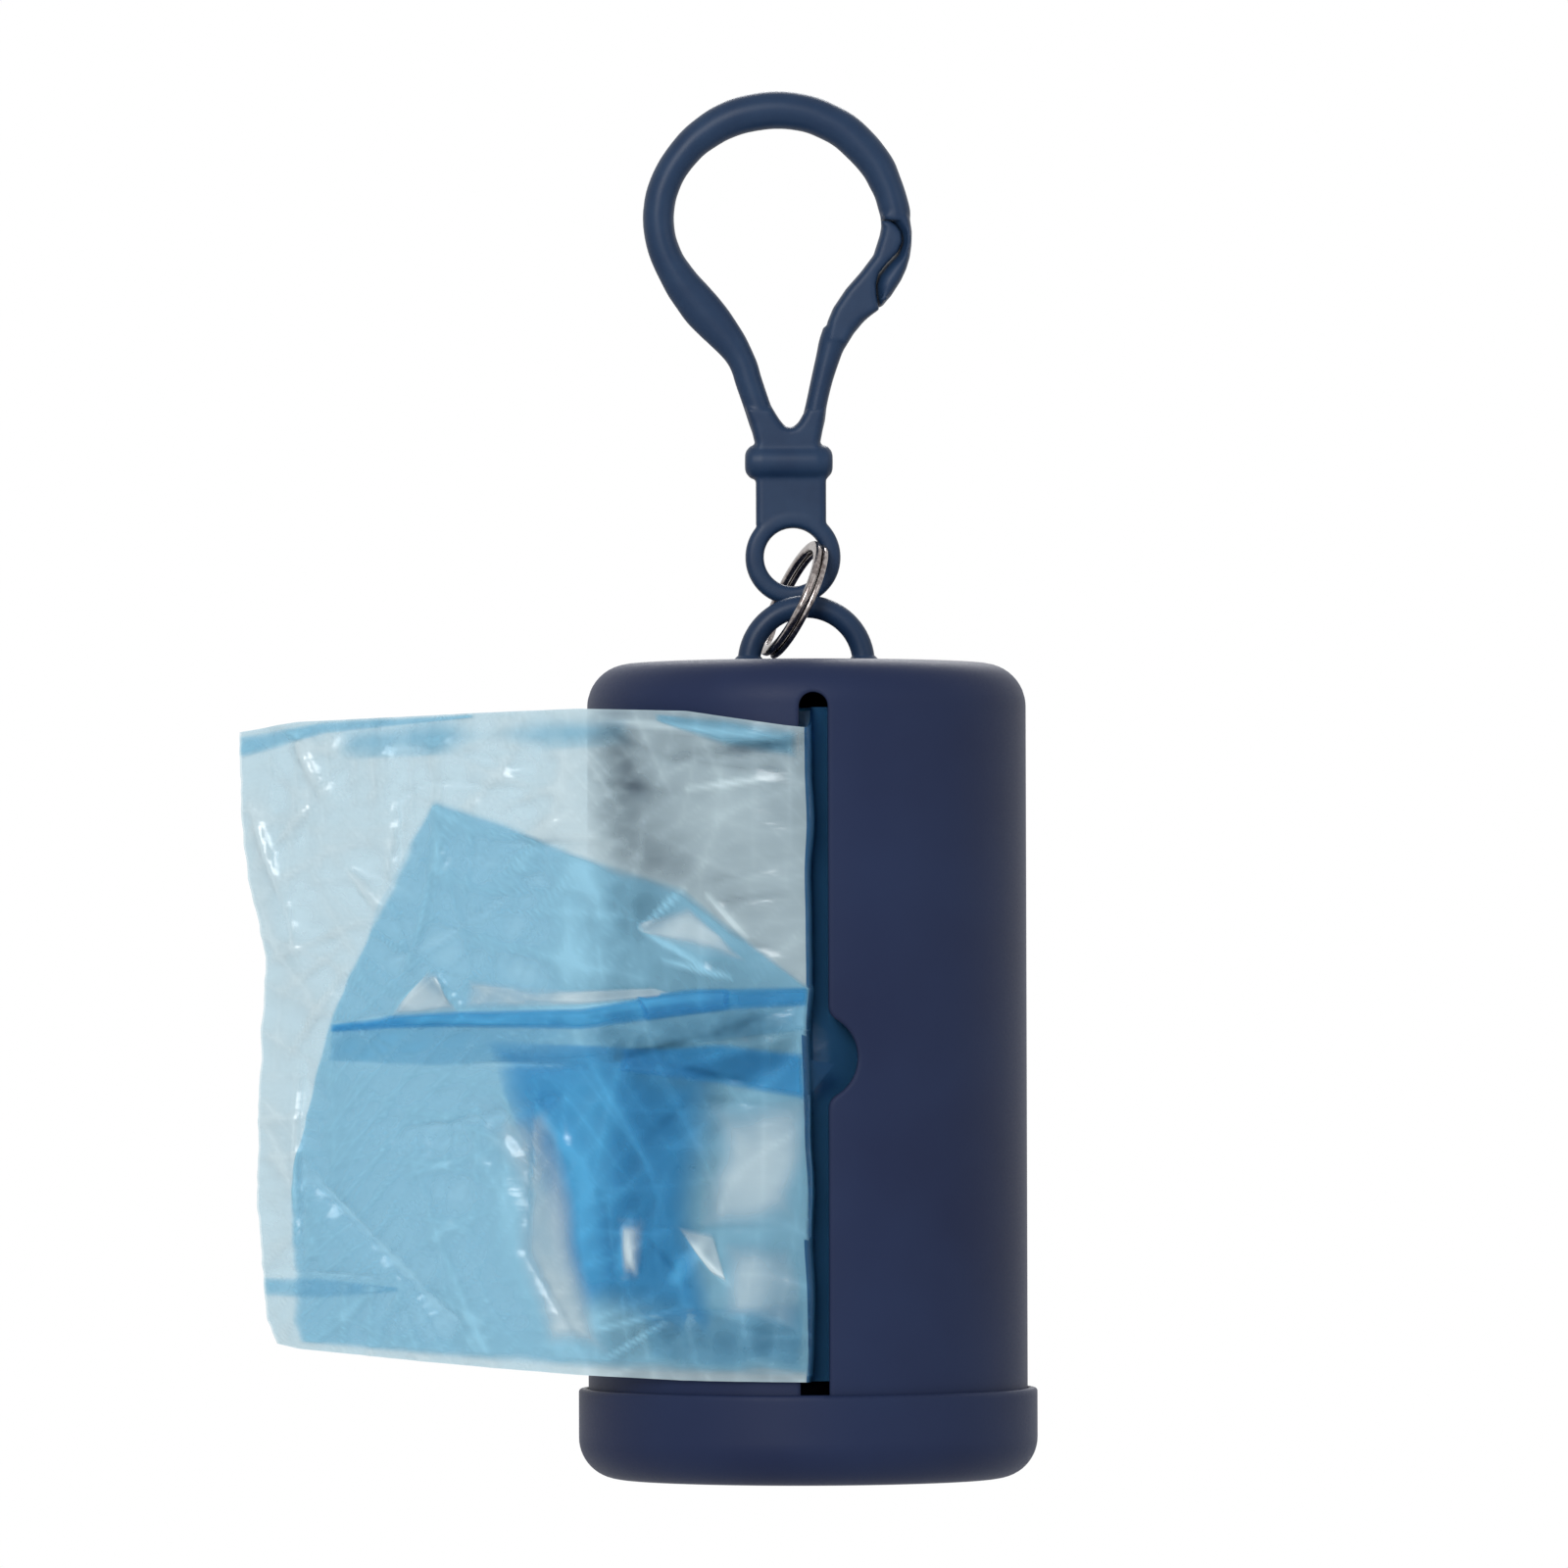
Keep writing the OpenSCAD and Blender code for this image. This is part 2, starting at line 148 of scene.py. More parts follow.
# Kraft board, spiral wound: warm grey-brown, fully matt, with fibres 0.4 mm wide along the tube.
kraft, tree, output, place = new_material("spiral_wound_kraft_board")
stretch = add(tree, "ShaderNodeMapping", {"Vector": place, "Scale": (1, 1, 0.15)})
fibre = add(tree, "ShaderNodeTexNoise",
            {"Vector": stretch.outputs[0], "Scale": 1 / (0.4 * mm), "Detail": 5.0})
tone = ramp(tree, fibre.outputs["Fac"], linear("#8f8168"), linear("#c9bda2"))
skin = add(tree, "ShaderNodeBump", {"Height": fibre.outputs["Fac"], "Strength": 0.5,
                                    "Distance": 0.1 * mm})
board = add(tree, "ShaderNodeBsdfPrincipled",
            {"Base Color": tone, "Roughness": 0.95,
             "Specular IOR Level": 0.2, "Normal": skin.outputs["Normal"]})
tree.links.new(board.outputs[0], output.inputs["Surface"])
dress(nodes["roll_core"], kraft)

# ---------------------------------------------------------------------------------------------
# The roll of bags: one long folded strip of thin polyethylene film wound on the core, about
# sixty turns. Its ends show the edges of the turns as a fine spiral.


def new_piece(name, points, faces):
    """A smooth mesh object of that name from points in metres and faces."""
    mesh = bpy.data.meshes.new(name)
    mesh.from_pydata([tuple(p) for p in points], [], [tuple(f) for f in faces])
    mesh.update()
    piece = bpy.data.objects.new(name, mesh)
    bpy.context.scene.collection.objects.link(piece)
    mesh.polygons.foreach_set("use_smooth", [True] * len(mesh.polygons))
    return piece


def grid_faces(rows, columns, wrap_rows=False, wrap_columns=False):
    """Four-sided faces over a grid of points listed row by row."""
    return [(i * columns + j, i * columns + (j + 1) % columns,
             (i + 1) % rows * columns + (j + 1) % columns, (i + 1) % rows * columns + j)
            for i in range(rows if wrap_rows else rows - 1)
            for j in range(columns if wrap_columns else columns - 1)]


def radius(name):
    """Half the width of a round CAD node."""
    low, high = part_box(name)
    return (high[0] - low[0]) / 2


roll_low, roll_high = (end[2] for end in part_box("bag_roll"))
roll_radius, core_radius = radius("bag_roll"), radius("roll_core")
# from one turn's edge to the next, how far an edge stands up, and the rounding of the rims
turn_step, ridge, rounding = 0.45 * mm, 0.16 * mm, 0.5 * mm
around, over_end, up_side = 200, 86, 30
rim = np.linspace(core_radius, roll_radius - 0.25 * mm, over_end)
angles = np.linspace(0, 2 * math.pi, around, endpoint=False)
side_z = np.linspace(roll_low + 2 * mm, roll_high - 2 * mm, up_side)
# the roll's outline as radius, height and which end it is on, 0 being the side
profile = ([(r, roll_low, 1) for r in rim] + [(roll_radius, roll_low + rounding, 0)]
           + [(roll_radius, z, 0) for z in side_z]
           + [(roll_radius, roll_high - rounding, 0)] + [(r, roll_high, -1) for r in rim[::-1]])
points = []
for r, z, end in profile:
    spiral = np.abs(np.sin(math.pi * (r / turn_step + angles / (2 * math.pi))))
    slack = 0.12 * mm * np.sin(3 * angles + 60 * z) + 0.05 * mm * np.sin(11 * angles - 900 * z)
    rr = np.full(around, r) if end else r - 0.2 * mm + slack
    zz = z + end * ridge * (0.3 + spiral)
    points += list(zip(rr * np.cos(angles), rr * np.sin(angles), zz))
roll = new_piece("wound_bags", points, grid_faces(len(profile), around, wrap_columns=True))

# Polyethylene film wound up: many layers show as a saturated sky blue with a soft sheen.
wound_film, tree, output, place = new_material("wound_polyethylene_film_blue")
bunched = add(tree, "ShaderNodeTexNoise", {"Vector": place, "Scale": 1 / (2 * mm), "Detail": 4.0})
tone = ramp(tree, bunched.outputs["Fac"], linear("#1b6ea6"), linear("#4f9fce"))
skin = add(tree, "ShaderNodeBump", {"Height": bunched.outputs["Fac"], "Strength": 0.4,
                                    "Distance": 0.2 * mm})
film = add(tree, "ShaderNodeBsdfPrincipled",
           {"Base Color": tone, "Roughness": 0.38, "IOR": 1.51,
            "Normal": skin.outputs["Normal"]})
tree.links.new(film.outputs[0], output.inputs["Surface"])
dress(roll, wound_film)
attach(roll, "roll")
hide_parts("bag_roll")

# ---------------------------------------------------------------------------------------------
# The first bag: thin blown film, folded over itself, that comes off the roll, out through the
# slot and round the tube to the left. Its creases and the number of layers make its blues.
film_radius = radius("case_body") + 0.6 * mm
wrap = math.radians(30)                     # how far round the tube the film lies
corner = 0.6 * mm                           # the bend at the slot's outer lip
wound_at = Vector((7.70, -15.27)) * mm      # where the film leaves the roll
inner_lip = Vector((0, -19.15)) * mm        # where it enters the slot


def film_path():
    """The film's way in plan: off the roll, through the slot, over the tube and straight on. It
    gives each point's distance from the slot, the points and the way that faces outward."""
    way = [wound_at + (inner_lip - wound_at) * t for t in np.linspace(0, 1, 40)[:-1]]
    out = Vector((0, corner - film_radius))
    way += [inner_lip + (out - inner_lip) * t for t in np.linspace(0, 1, 20)[:-1]]
    way += [Vector((corner * math.cos(a) - corner, corner - film_radius - corner * math.sin(a)))
            for a in np.linspace(0, math.pi / 2, 10)]
    start = math.asin(corner / film_radius)
    way += [Vector((-film_radius * math.sin(a), -film_radius * math.cos(a)))
            for a in np.linspace(start, wrap, 60)[1:]]
    last = way[-1]
    along = Vector((-math.cos(wrap), math.sin(wrap)))
    straight_on = np.linspace(0.5, 56, 112)     # in mm
    way += [last + along * (d * mm) for d in straight_on]
    way = np.array([(w.x, w.y) for w in way])
    gone = np.concatenate([[0], np.cumsum(np.hypot(*np.diff(way, axis=0).T))])
    # distances count from the slot, so the end of the bend at its lip is at corner
    from_lip = np.abs(way[:, 0] + corner) + 10 * np.abs(way[:, 1] + film_radius)
    gone -= gone[np.argmin(from_lip)] - corner
    step = np.gradient(way, axis=0)
    step /= np.hypot(step[:, 0], step[:, 1])[:, None]
    facing = np.stack([-step[:, 1], step[:, 0]], axis=1)
    return gone, way, facing


path_gone, path_way, path_facing = film_path()


def noise_field(s, z, size, seed):
    """Smooth value noise in 0..1 at places s, z in mm, with lumps of that size."""
    cells = 97
    table = np.random.default_rng(seed).random((cells, cells))
    a, b = s / size + 31.7, z / size + 17.3
    i, j = np.floor(a).astype(int), np.floor(b).astype(int)
    u, v = a - i, b - j
    u, v = u * u * (3 - 2 * u), v * v * (3 - 2 * v)

    def pick(p, q):
        return table[p % cells, q % cells]

    return ((pick(i, j) * (1 - u) + pick(i + 1, j) * u) * (1 - v)
            + (pick(i, j + 1) * (1 - u) + pick(i + 1, j + 1) * u) * v)


# creases from (s, z) to (s, z) in mm along the film and up, how far each stands out and its width.
# A ridge whitens the film, partly as stress whitening and partly as a painted glint, and a valley
# is a doubled line of deeper blue.
creases = [
    (62.3, 70.5, 53, 72.6, -0.6, 0.5), (53, 72.6, 39, 74, -0.4, 0.5),
    (44.6, 66, 44.9, 59.5, -0.8, 0.3), (44.6, 66, 41.2, 67.6, -0.6, 0.3),
    (41.2, 67.6, 31.5, 66.6, -0.6, 0.3), (46.4, 71.2, 39.5, 70.5, -0.5, 0.3),
    (39.5, 70.5, 29, 68.3, -0.5, 0.35), (45.8, 50.2, 40.5, 52.2, -0.5, 0.4),
    (40.5, 52.2, 35, 55, -0.6, 0.4), (35, 55, 31.4, 57.2, -0.6, 0.35),
    (52, 44, 45, 44.8, -0.7, 0.5), (45, 44.6, 28, 44.4, 0.6, 0.5), (28, 45.4, 8, 46.9, 0.6, 0.5),
    (37, 40.2, 24, 40.1, -0.9, 0.35), (24, 40.1, 9, 43.4, -0.8, 0.4),
    (9, 43.4, 1, 46.4, -0.5, 0.5), (45.6, 44.9, 40.6, 49.2, 0.5, 0.35),
    (40.6, 49.2, 37.2, 45.2, 0.7, 0.4), (55.2, 44, 55.5, 32, -0.5, 0.4),
    (56.2, 40, 55.8, 26, 0.6, 0.4), (55.4, 32, 55.2, 21, -0.5, 0.4),
    (54.2, 29.2, 48, 23.9, -0.9, 0.45), (48, 23.9, 40, 16.8, -0.9, 0.5),
    (40, 16.8, 36.6, 15.0, -0.5, 0.4), (30.2, 35.4, 30.4, 22.3, -0.8, 0.6),
    (30.4, 22.3, 24.4, 13.4, -0.7, 0.6), (59.5, 20.0, 46, 19.6, -0.6, 0.3),
    (12.8, 57.5, 3, 58.9, -0.5, 0.35), (9.8, 55.8, 2.5, 56.6, -0.5, 0.35),
    (13, 54.4, 3, 50.9, -0.6, 0.3), (25.6, 60.9, 20, 52, 0.4, 1.0), (36, 60, 22, 55.5, -0.4, 0.6),
    (33.0, 61.5, 24, 61.2, -0.6, 0.3), (17.5, 53.2, 13, 57.0, 0.8, 0.3),
    (17.5, 53.2, 10.5, 49.5, 0.9, 0.3), (15, 50.2, 8, 48.6, 0.9, 0.3),
    (10.5, 56.5, 6.4, 52.3, 0.8, 0.3), (61.5, 66, 57.4, 55.5, 0.8, 0.35),
    (57.4, 55.5, 55.8, 50, 0.5, 0.35), (60, 60, 53.5, 66.8, 0.7, 0.4),
    (53.5, 66.8, 56.0, 71.5, 0.8, 0.4), (56.0, 62, 52.8, 69.5, -0.5, 0.4),
    (50.5, 59.5, 45.0, 57.4, -0.6, 0.4), (50.5, 59.5, 46.4, 55.0, 0.8, 0.5),
    (59.0, 50.5, 47.5, 54.5, 0.7, 0.4), (57.8, 47.2, 50.0, 52.4, 0.7, 0.45),
    (57.0, 41.0, 50.2, 50.0, 0.8, 0.45), (16, 40.6, 3, 38.0, -0.6, 0.4),
    (12.0, 37.2, 3, 36.4, -0.5, 0.4), (12.0, 37.2, 17.0, 33.2, -0.5, 0.5),
    (10, 36.8, 9.6, 24, -0.4, 1.0), (17, 23.6, 12, 18.8, -0.6, 0.4),
    (12.4, 23.4, 8.2, 19.4, 0.9, 0.4), (19.5, 24.5, 18.2, 20.4, 0.9, 0.4),
    (17.8, 24.6, 3.4, 25.0, -0.5, 0.4), (15.0, 17.4, 4.0, 14.6, -0.5, 0.4),
    (24, 33, 20, 18, -0.5, 0.9), (44, 33.9, 33, 35.4, -0.6, 0.6), (33, 35.4, 26, 37.6, -0.6, 0.6),
    (20.5, 71.8, 14, 69.4, -0.5, 0.5), (14, 69.4, 2.6, 68.2, -0.7, 0.4),
    (24, 67.6, 13.0, 66.2, -0.4, 0.5), (12.6, 66.6, 4.0, 67.6, 0.6, 0.35),
    (22.0, 73.4, 3.0, 71.4, 0.6, 0.4), (33.6, 64.9, 27.6, 66.8, 0.6, 0.4),
    (30.2, 62.4, 25.4, 64.6, 0.6, 0.35), (38, 70.6, 31.5, 73.0, 0.5, 0.6),
    (26, 14.0, 12.0, 17.2, 0.5, 0.3), (22, 11.8, 15.0, 15.6, 0.7, 0.25)
]

# patches of painted sheen: where the film is milky as it mirrors the lamps, or lies clear and flat
# on what is behind it as it mirrors nothing: s, z, half its width and half its height in mm, its
# lean in degrees and how much
painted_sheen_patches = [
    (8, 62.5, 6.3, 6.6, 0, 0.04), (20.5, 67, 3.6, 8, -12, -0.22), (15.5, 60, 3.2, 3.2, 0, -0.12),
    (31.9, 29.0, 2.2, 7.2, 0, 0.30), (29.0, 18.5, 1.9, 6.6, -24, 0.28),
    (5.4, 30.4, 4.3, 6.0, 0, 0.34), (12.4, 21.6, 0.9, 2.9, 38, 0.5),
    (19.2, 22.6, 0.9, 2.6, 8, 0.4), (6.4, 19.2, 2.2, 3.2, 20, 0.22),
    (11.5, 52.8, 4.8, 2.4, 10, 0.34), (41, 46.4, 3.2, 1.5, 0, 0.34), (27, 45.6, 9, 0.7, -2, 0.3),
    (60.8, 62, 1.5, 9, -4, 0.26), (58.2, 34, 1.8, 14, 0, 0.16), (42, 12.6, 17, 1.3, -3, 0.2),
    (26, 42.4, 27, 1.7, 0, -0.08), (47, 42, 5, 2.4, 0, -0.12), (12, 46.4, 6, 0.8, -6, -0.05),
    (17.5, 31, 4.6, 9, 0, -0.06), (10, 14.2, 10, 1.8, 0, -0.12), (8, 40.0, 8, 1.4, -12, -0.12),
    (20, 54.8, 5.0, 2.6, 0, -0.22), (35, 49, 12, 3, 18, -0.10), (50, 66, 9, 7, 0, 0.06),
    (7, 70.6, 6, 0.8, -6, -0.25), (45, 24, 9, 8, 0, -0.08), (5, 43.2, 5, 2.0, 10, -0.12)
]

# the crumple: families of sharp folds that cross each other, each with the way it runs across
# in degrees, its spacing and its depth in mm
folds = [
    (20, 9.0, 0.60), (68, 6.5, 0.50), (112, 5.0, 0.40), (158, 7.5, 0.55), (5, 3.4, 0.30),
    (48, 2.6, 0.22), (95, 4.2, 0.34), (138, 2.9, 0.25), (80, 1.7, 0.13), (30, 1.9, 0.14)
]

# the free end's wavy edge: how far it lies from the slot at each height, in mm
end_high = [
    12, 13.1, 15.3, 21, 26.8, 35.4, 44, 49.7, 52.6, 55.5, 58.3, 64.1, 69.9, 72.7, 75
]
end_away = [
    57.6, 58.0, 59.3, 59.9, 60.6, 60.2, 60.2, 59.7, 60.1, 60.9, 61.6, 62.4, 62.9, 62.9, 62.9
]


def relief(s, z, seed):
    """How far the film stands off its plain place at s, z in mm, and how cloudy it is there, part
    of that painted sheen on fold crests, ridges and the listed patches: broad waves, sharp
    wrinkles and the creases, all calm against the tube and in the slot."""
    free = np.clip((s - 16) / 14, 0, 1)     # 0 against the tube, 1 past it
    near = np.clip((s - 0.5) / 6, 0, 1)     # 0 in the slot, 1 past its lip
    loose = 0.3 + 0.7 * free                # folds stand out less against the tube
    high = 1.7 * (noise_field(s, z, 21, 3) - 0.5) * free
    high += 0.8 * (noise_field(s, z, 9, 4) - 0.5) * (0.35 + 0.65 * free) * near
    # the cloudiness starts as the film's own, and painted sheen is added below on fold crests, on
    # ridges and in the listed patches
    haze_and_sheen = 0.16 * (noise_field(s, 0.6 * z, 7, 9) - 0.5) + 0.36 * np.exp(-((s - 24.2) / 3.2) ** 2)
    for number, (turn, apart, depth) in enumerate(folds):
        c, n = math.cos(math.radians(turn)), math.sin(math.radians(turn))
        across = (s * c + z * n) / apart + 1.4 * noise_field(s, z, 16, 30 + number)
        rise = 2 * np.abs(across - np.floor(across) - 0.5)
        here = np.clip(2.6 * noise_field(s, z, 9, 50 + number) - 1.0, 0, 1)
        high += 0.8 * depth * (rise - 0.5) * here * loose * near
        # painted sheen: each fold's crest is made milkier and its valley clearer, as facets
        # catching the lamps would look
        haze_and_sheen += here * depth * (0.5 * free + 0.18) * (rise ** 8 + 0.4 * rise - 0.3)
    for s0, z0, s1, z1, height, width in creases:
        ds, dz = s1 - s0, z1 - z0
        t = np.clip(((s - s0) * ds + (z - z0) * dz) / (ds * ds + dz * dz), 0, 1)
        gap = np.hypot(s - s0 - t * ds, z - z0 - t * dz)
        taper = 0.35 + 0.65 * np.sin(math.pi * np.clip(t, 0.02, 0.98))
        high += 1.05 * height * taper * np.exp(-gap / (1.6 * width)) * loose
        # painted glint: ridges whiten more than stress whitening alone would give
        strength = 0.6 if height > 0 else 0.15 + 0.3 * free
        haze_and_sheen += strength * height * taper * np.exp(-(gap / (0.9 * width)) ** 2)
    # painted sheen patches: lighter where the film would mirror the lamps, clearer where it would
    # not
    for s0, z0, half_s, half_z, turn, much in painted_sheen_patches:
        c, n = math.cos(math.radians(turn)), math.sin(math.radians(turn))
        wave = 0.5 * (noise_field(s, z, 2.4, 12) - 0.5)
        a = ((s - s0) * c + (z - z0) * n) / half_s + wave
        b = ((z - z0) * c - (s - s0) * n) / half_z + wave
        haze_and_sheen += much * np.exp(-((a * a + b * b) ** 1.6))
    return high + 0.05 * (noise_field(s, z, 1.3, seed) - 0.5), haze_and_sheen


def edge_line(line, count):
    """count points evenly spaced along a line of points."""
    line = np.array(line, float)
    gone = np.concatenate([[0], np.cumsum(np.hypot(*np.diff(line, axis=0).T))])
    at = np.linspace(0, gone[-1], count)
    return np.stack([np.interp(at, gone, line[:, k]) for k in (0, 1)], axis=1)


def film_layer(bottom, top, lift, seed, base, feather, step=0.4):
    """One layer of film between its bottom and top edges, each listed from the slot outward as (s,
    z) in mm. lift is how far it lies outside the innermost layer, base how cloudy it is and
    feather how many mm its edge takes to come in. Returns its points, faces, cloudiness with its
    painted sheen, share of its colour and places along the film."""
    columns = int(max(np.ptp(np.array(bottom)[:, 0]), np.ptp(np.array(top)[:, 0])) / step) + 2
    low, high = edge_line(bottom, columns), edge_line(top, columns)
    tall = np.max(np.hypot(*(high - low).T))
    rows = int(tall / step) + 2
    share = np.linspace(0, 1, rows)[:, None, None]
    flat = low[None] * (1 - share) + high[None] * share
    # the outlines are listed up to a straight free edge, and the last 22 mm follow its waves
    foot_s, foot_z, edge_lean = 57.4, 13.1, 0.0921
    straight = foot_s + (flat[..., 1] - foot_z) * edge_lean
    flat[..., 0] += ((np.interp(flat[..., 1], end_high, end_away) - straight)
                     * np.clip((flat[..., 0] - 35) / 22, 0, 1))
    s, z = flat[..., 0].ravel(), flat[..., 1].ravel()
    off, haze_and_sheen = relief(s, z, seed)
    in_slot = np.clip(1 - s / 3, 0, 1) ** 2 * np.clip(1 + s / 6, 0, 1)
    off = (lift * (1 - 0.5 * in_slot)
           + np.clip(off, -0.22 - 1.2 * np.clip((s - 18) / 10, 0, 1), 1.6)) * mm
    at = s * mm
    x, y = (np.interp(at, path_gone, path_way[:, k])
            + off * np.interp(at, path_gone, path_facing[:, k]) for k in (0, 1))
    x += in_slot * (noise_field(0 * z, z, 5, 13) - 0.95) * 0.8 * mm
    fade = np.ones(len(s))
    if feather:
        up, along = share[..., 0], np.linspace(0, 1, columns)[None]
        inside = np.minimum(np.minimum(up, 1 - up) * tall,
                            np.minimum(along, 1 - along) * columns * step)
        ragged = 0.9 * feather * (noise_field(s, z, 2.5 + feather, 17) - 0.5)
        fade = np.clip((inside.ravel() + ragged * (inside.ravel() > 0.4)) / feather, 0, 1)
        fade = fade * fade * (3 - 2 * fade)
    return (np.stack([x, y, z * mm], axis=1), grid_faces(rows, columns),
            np.clip(base + haze_and_sheen, 0.03, 0.85) * fade, fade, s)


# Blown low-density polyethylene: clear sky blue that deepens with each layer, milky grey where it
# is crumpled and where sheen is painted into its milkiness, with white glints on the wrinkles.
# Finer crimps than the mesh holds, 1.6 mm apart and four times as long, come from the bump.
def film_material(name, through, lit):
    """Film that lets light through in one colour and shows its lit, cloudy side in the other,
    mixed by a cloudiness that carries painted sheen.
    """
    material, tree, output, place = new_material(name)
    milk_and_sheen = add(tree, "ShaderNodeAttribute", attribute_name="milk_and_painted_sheen")
    long_way = add(tree, "ShaderNodeMapping", {"Vector": place, "Rotation": (0, 0.5, 0),
                                               "Scale": (0.25, 1, 1)})
    wrinkle = add(tree, "ShaderNodeTexNoise",
                  {"Vector": long_way.outputs[0], "Scale": 1 / (1.6 * mm), "Detail": 3.0})
    skin = add(tree, "ShaderNodeBump", {"Height": wrinkle.outputs["Fac"], "Strength": 0.35,
                                        "Distance": 0.3 * mm})
    seen = add(tree, "ShaderNodeBsdfPrincipled",
               {"Base Color": linear(lit), "Roughness": 0.19, "IOR": 1.51,
                "Normal": skin.outputs["Normal"]})
    fold = add(tree, "ShaderNodeAttribute", attribute_name="layers")
    tint = ramp(tree, fold.outputs["Fac"], (1, 1, 1, 1), linear(through))
    clear = add(tree, "ShaderNodeBsdfTransparent", {"Color": tint})
    film = add(tree, "ShaderNodeMixShader", {0: milk_and_sheen.outputs["Fac"], 1: clear.outputs[0],
                                             2: seen.outputs[0]})
    tree.links.new(film.outputs[0], output.inputs["Surface"])
    return material


# One or two layers: hardly tinted, greyish white where it is milky.
clear_film = film_material("blown_polyethylene_film_sky_blue", "#e0eef4", "#c0d3da")
# The gusset and the band, where folds double the film: a light sky blue.
blue_film = film_material("blown_polyethylene_film_folded_blue", "#c6e3f0", "#8ec4dc")
# Hems and rolled folds, many layers on each other: a strong clear blue.
hem_film = film_material("blown_polyethylene_film_rolled_hem", "#8acbee", "#48a2d2")
# Film gathered in the slot: a deep blue from its many layers, darkened further by the case's shade
# painted into both its colours, that hides the inside.
dark_film = film_material("blown_polyethylene_film_bunched_in_the_slot", "#4f86b0", "#3f7aa8")

# edges of layers as (s, z) in mm: how film lies in the slot, below and above, and the main layers
slot_in = [(-11.0, 10.0), (-2.0, 10.0), (0.4, 10.0)]
slot_up = [(-11.0, 74.5), (-1.6, 74.4), (0.4, 72.4)]
outer_bottom = slot_in + [
    (13.3, 10.1), (25.2, 10.5), (34.9, 11.1), (45.9, 11.9), (54.7, 12.6), (57.4, 13.1)
]
outer_top = slot_up + [
    (2.6, 72.6), (12.8, 74.1), (24.7, 74.5), (34.5, 74.3), (45.4, 74.0), (56.5, 73.7),
    (62.9, 72.8)
]
gusset_bottom = [
    (-2.4, 10.6), (0.4, 10.6), (13.3, 10.7), (25.2, 11.1), (34.9, 11.7), (45.9, 12.5),
    (54.5, 13.2)
]
gusset_top = [
    (-2.4, 47.0), (1.2, 48.3), (13.0, 57.3), (22.3, 59.9), (25.6, 60.9), (32.6, 63.7),
    (40.3, 66.1), (42.9, 62.6), (46.3, 56.8), (50.6, 49.5), (52.6, 43.9), (54.0, 37.3),
    (54.8, 29.6)
]
band_top = [
    (-2.4, 47.4), (0.7, 47.6), (8.7, 46.9), (17.2, 46.3), (23.8, 45.0), (37.4, 45.1),
    (45.3, 44.7), (52, 44)
]
band_bottom = [
    (-2.4, 43.3), (0.9, 43.5), (8.7, 42.6), (17.0, 41.4), (28.2, 40.6), (40.2, 40.1), (52.2, 40.6)
]
